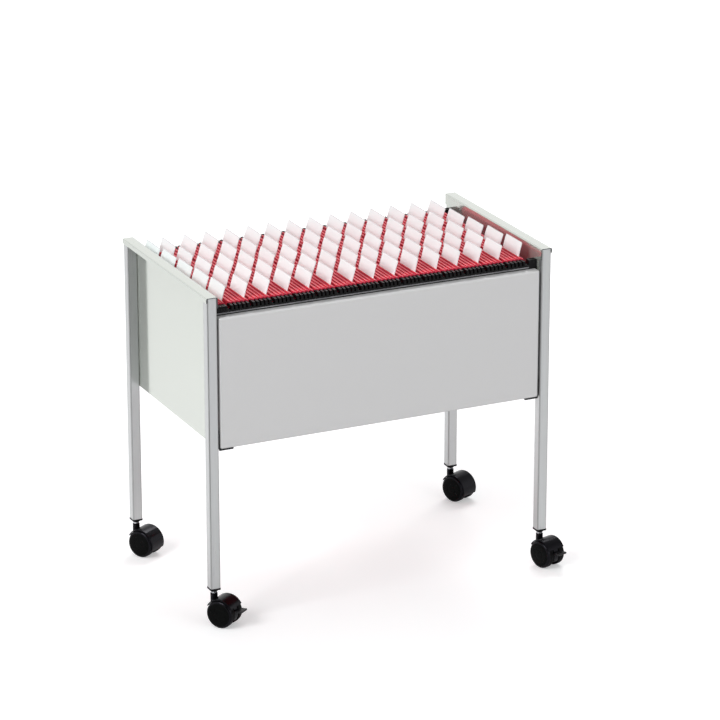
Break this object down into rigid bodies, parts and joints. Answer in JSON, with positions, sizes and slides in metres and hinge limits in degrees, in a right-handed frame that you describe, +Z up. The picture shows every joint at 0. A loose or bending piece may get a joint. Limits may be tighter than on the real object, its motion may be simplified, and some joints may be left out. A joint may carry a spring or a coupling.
{
  "type": "mobile file cart",
  "caption": "Low rolling cart with an open bin between two end frames, carrying lift-out bundles of tabbed hanging files on rails, on twin-wheel swivel casters with foot brakes.",
  "frame": {"origin": "on the floor under the middle of the cart's bounding box", "axes": "+X along the row of files to the right, +Y from the front panel to the rear panel, +Z up"},
  "size_m": [0.6834, 0.4258, 0.5927],
  "materials": {
    "leg_silver": "satin silver-grey powder coat on square steel tube",
    "end_panel_pale": "glossy pale grey enamel on folded steel sheet",
    "panel_grey": "satin grey powder coat on bent steel sheet",
    "bracket_black": "black coated steel strip",
    "rail_black": "extruded black plastic, slightly glossy",
    "block_black": "moulded black plastic",
    "insert_black": "moulded black plastic",
    "file_red": "red folder card",
    "stem_steel": "zinc plated, bright",
    "axle_steel": "turned steel",
    "caster_black": "moulded black nylon, glossy",
    "wheel_black": "moulded black nylon, glossy",
    "pedal_black": "moulded black nylon, satin"
  },
  "bodies": {
    "cart": {"leg_front_left": "leg_silver", "leg_front_right": "leg_silver", "leg_rear_left": "leg_silver", "leg_rear_right": "leg_silver", "end_panel_left": "end_panel_pale", "end_panel_right": "end_panel_pale", "panel_front": "panel_grey", "panel_rear": "panel_grey", "bracket_front_left": "bracket_black", "bracket_front_right": "bracket_black", "bracket_rear_left": "bracket_black", "bracket_rear_right": "bracket_black", "file_rail_front": "rail_black", "file_rail_rear": "rail_black", "rail_block_front_left": "block_black", "rail_block_front_right": "block_black", "rail_block_rear_left": "block_black", "rail_block_rear_right": "block_black", "leg_insert_front_left": "insert_black", "leg_insert_front_right": "insert_black", "leg_insert_rear_left": "insert_black", "leg_insert_rear_right": "insert_black"},
    "swivel_front_left": {"caster_stem_front_left": "stem_steel", "caster_housing_front_left": "caster_black", "caster_axle_front_left": "axle_steel"},
    "wheel_left_front_left": {"caster_wheel_left_front_left": "wheel_black"},
    "wheel_right_front_left": {"caster_wheel_right_front_left": "wheel_black"},
    "pedal_front_left": {"brake_pedal_front_left": "pedal_black"},
    "swivel_rear_left": {"caster_stem_rear_left": "stem_steel", "caster_housing_rear_left": "caster_black", "caster_axle_rear_left": "axle_steel"},
    "wheel_left_rear_left": {"caster_wheel_left_rear_left": "wheel_black"},
    "wheel_right_rear_left": {"caster_wheel_right_rear_left": "wheel_black"},
    "swivel_front_right": {"caster_stem_front_right": "stem_steel", "caster_housing_front_right": "caster_black", "caster_axle_front_right": "axle_steel"},
    "wheel_left_front_right": {"caster_wheel_left_front_right": "wheel_black"},
    "wheel_right_front_right": {"caster_wheel_right_front_right": "wheel_black"},
    "pedal_front_right": {"brake_pedal_front_right": "pedal_black"},
    "swivel_rear_right": {"caster_stem_rear_right": "stem_steel", "caster_housing_rear_right": "caster_black", "caster_axle_rear_right": "axle_steel"},
    "wheel_left_rear_right": {"caster_wheel_left_rear_right": "wheel_black"},
    "wheel_right_rear_right": {"caster_wheel_right_rear_right": "wheel_black"},
    "files_01": {"file_bundle_01": "file_red"},
    "files_02": {"file_bundle_02": "file_red"},
    "files_03": {"file_bundle_03": "file_red"},
    "files_04": {"file_bundle_04": "file_red"},
    "files_05": {"file_bundle_05": "file_red"},
    "files_06": {"file_bundle_06": "file_red"},
    "files_07": {"file_bundle_07": "file_red"},
    "files_08": {"file_bundle_08": "file_red"},
    "files_09": {"file_bundle_09": "file_red"},
    "files_10": {"file_bundle_10": "file_red"},
    "files_11": {"file_bundle_11": "file_red"},
    "files_12": {"file_bundle_12": "file_red"},
    "files_13": {"file_bundle_13": "file_red"},
    "files_14": {"file_bundle_14": "file_red"},
    "files_15": {"file_bundle_15": "file_red"}
  },
  "joints": [
    {"name": "swivel_front_left_turn", "type": "hinge", "parent": "cart", "child": "swivel_front_left", "pos_m": [-0.32375, -0.15203, 0.05569], "axis": [0, 0, 1], "continuous": true},
    {"name": "wheel_left_front_left_roll", "type": "hinge", "parent": "swivel_front_left", "child": "wheel_left_front_left", "pos_m": [-0.3117, -0.16862, 0.02489], "axis": [0.809, 0.5878, 0], "continuous": true},
    {"name": "wheel_right_front_left_roll", "type": "hinge", "parent": "swivel_front_left", "child": "wheel_right_front_left", "pos_m": [-0.3117, -0.16862, 0.02489], "axis": [0.809, 0.5878, 0], "continuous": true},
    {"name": "pedal_front_left_press", "type": "hinge", "parent": "swivel_front_left", "child": "pedal_front_left", "pos_m": [-0.30148, -0.18268, 0.03122], "axis": [0.809, 0.5878, 0], "range_deg": [0, 15]},
    {"name": "swivel_rear_left_turn", "type": "hinge", "parent": "cart", "child": "swivel_rear_left", "pos_m": [-0.32375, 0.19997, 0.05569], "axis": [0, 0, 1], "continuous": true},
    {"name": "wheel_left_rear_left_roll", "type": "hinge", "parent": "swivel_rear_left", "child": "wheel_left_rear_left", "pos_m": [-0.31289, 0.18258, 0.02489], "axis": [0.848, 0.5299, 0], "continuous": true},
    {"name": "wheel_right_rear_left_roll", "type": "hinge", "parent": "swivel_rear_left", "child": "wheel_right_rear_left", "pos_m": [-0.31289, 0.18258, 0.02489], "axis": [0.848, 0.5299, 0], "continuous": true},
    {"name": "swivel_front_right_turn", "type": "hinge", "parent": "cart", "child": "swivel_front_right", "pos_m": [0.30625, -0.15203, 0.05569], "axis": [0, 0, 1], "continuous": true},
    {"name": "wheel_left_front_right_roll", "type": "hinge", "parent": "swivel_front_right", "child": "wheel_left_front_right", "pos_m": [0.3119, -0.17174, 0.02489], "axis": [0.9613, 0.2756, 0], "continuous": true},
    {"name": "wheel_right_front_right_roll", "type": "hinge", "parent": "swivel_front_right", "child": "wheel_right_front_right", "pos_m": [0.3119, -0.17174, 0.02489], "axis": [0.9613, 0.2756, 0], "continuous": true},
    {"name": "pedal_front_right_press", "type": "hinge", "parent": "swivel_front_right", "child": "pedal_front_right", "pos_m": [0.31669, -0.18845, 0.03122], "axis": [0.9613, 0.2756, 0], "range_deg": [0, 15]},
    {"name": "swivel_rear_right_turn", "type": "hinge", "parent": "cart", "child": "swivel_rear_right", "pos_m": [0.30625, 0.19997, 0.05569], "axis": [0, 0, 1], "continuous": true},
    {"name": "wheel_left_rear_right_roll", "type": "hinge", "parent": "swivel_rear_right", "child": "wheel_left_rear_right", "pos_m": [0.31459, 0.18124, 0.02489], "axis": [0.9135, 0.4067, 0], "continuous": true},
    {"name": "wheel_right_rear_right_roll", "type": "hinge", "parent": "swivel_rear_right", "child": "wheel_right_rear_right", "pos_m": [0.31459, 0.18124, 0.02489], "axis": [0.9135, 0.4067, 0], "continuous": true},
    {"name": "files_01_lift", "type": "slide", "parent": "cart", "child": "files_01", "axis": [0, 0, 1], "range_m": [0, 0.28]},
    {"name": "files_02_lift", "type": "slide", "parent": "cart", "child": "files_02", "axis": [0, 0, 1], "range_m": [0, 0.28]},
    {"name": "files_03_lift", "type": "slide", "parent": "cart", "child": "files_03", "axis": [0, 0, 1], "range_m": [0, 0.28]},
    {"name": "files_04_lift", "type": "slide", "parent": "cart", "child": "files_04", "axis": [0, 0, 1], "range_m": [0, 0.28]},
    {"name": "files_05_lift", "type": "slide", "parent": "cart", "child": "files_05", "axis": [0, 0, 1], "range_m": [0, 0.28]},
    {"name": "files_06_lift", "type": "slide", "parent": "cart", "child": "files_06", "axis": [0, 0, 1], "range_m": [0, 0.28]},
    {"name": "files_07_lift", "type": "slide", "parent": "cart", "child": "files_07", "axis": [0, 0, 1], "range_m": [0, 0.28]},
    {"name": "files_08_lift", "type": "slide", "parent": "cart", "child": "files_08", "axis": [0, 0, 1], "range_m": [0, 0.28]},
    {"name": "files_09_lift", "type": "slide", "parent": "cart", "child": "files_09", "axis": [0, 0, 1], "range_m": [0, 0.28]},
    {"name": "files_10_lift", "type": "slide", "parent": "cart", "child": "files_10", "axis": [0, 0, 1], "range_m": [0, 0.28]},
    {"name": "files_11_lift", "type": "slide", "parent": "cart", "child": "files_11", "axis": [0, 0, 1], "range_m": [0, 0.28]},
    {"name": "files_12_lift", "type": "slide", "parent": "cart", "child": "files_12", "axis": [0, 0, 1], "range_m": [0, 0.28]},
    {"name": "files_13_lift", "type": "slide", "parent": "cart", "child": "files_13", "axis": [0, 0, 1], "range_m": [0, 0.28]},
    {"name": "files_14_lift", "type": "slide", "parent": "cart", "child": "files_14", "axis": [0, 0, 1], "range_m": [0, 0.28]},
    {"name": "files_15_lift", "type": "slide", "parent": "cart", "child": "files_15", "axis": [0, 0, 1], "range_m": [0, 0.28]}
  ]
}
